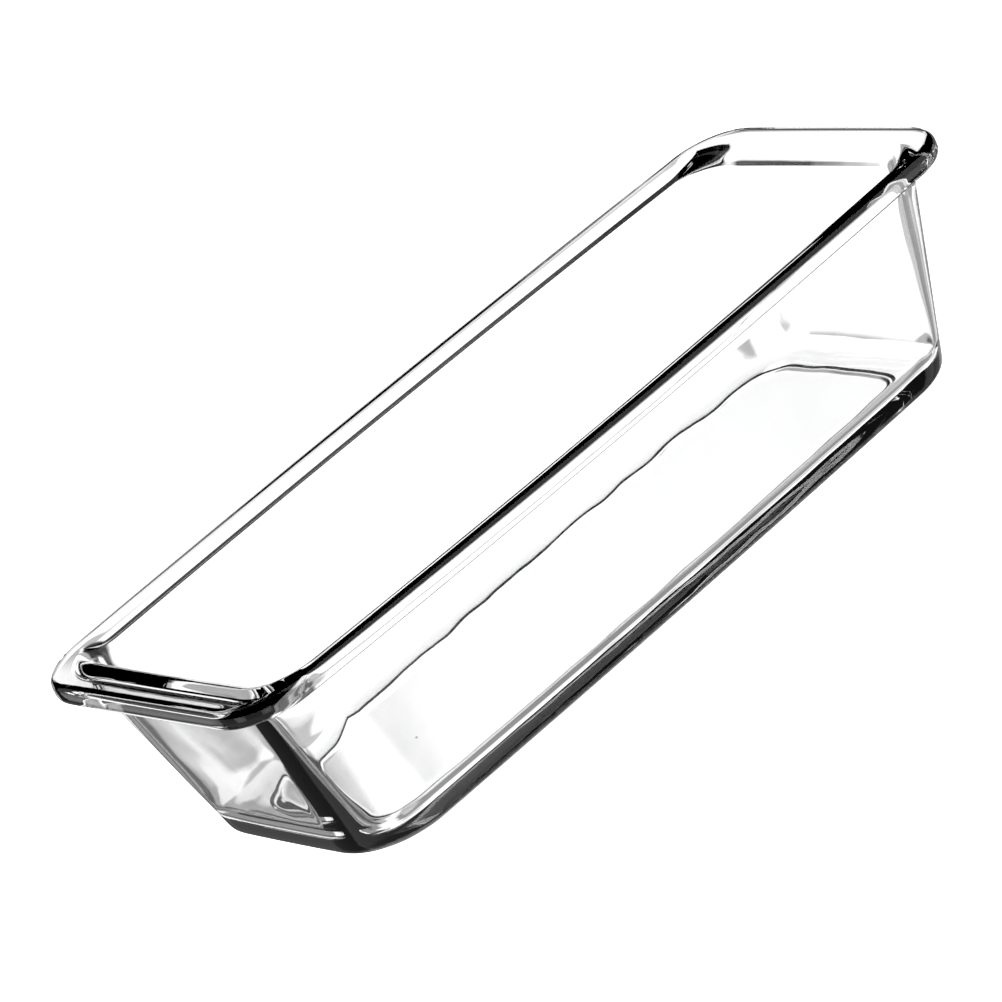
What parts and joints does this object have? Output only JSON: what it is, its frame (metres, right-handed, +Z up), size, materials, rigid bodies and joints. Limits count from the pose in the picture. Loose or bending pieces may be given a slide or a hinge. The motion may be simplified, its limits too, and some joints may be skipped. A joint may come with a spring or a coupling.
{
  "type": "loaf pan",
  "caption": "Clear pressed-glass loaf dish: a deep tapered well with a rounded heel, a level rim, and a wide flat flange at each end to lift it by.",
  "frame": {"origin": "middle of the flat resting face under the base, at the bottom of the dish", "axes": "+X along the long side, from one end handle to the other; +Y across the dish; +Z up, out of the well's mouth"},
  "size_m": [0.28, 0.1106, 0.064],
  "materials": {
    "clear_glass": "clear and colourless, fire-polished, with faint pressed ripples"
  },
  "bodies": {
    "root": {"glass_dish": "clear_glass"}
  },
  "joints": []
}
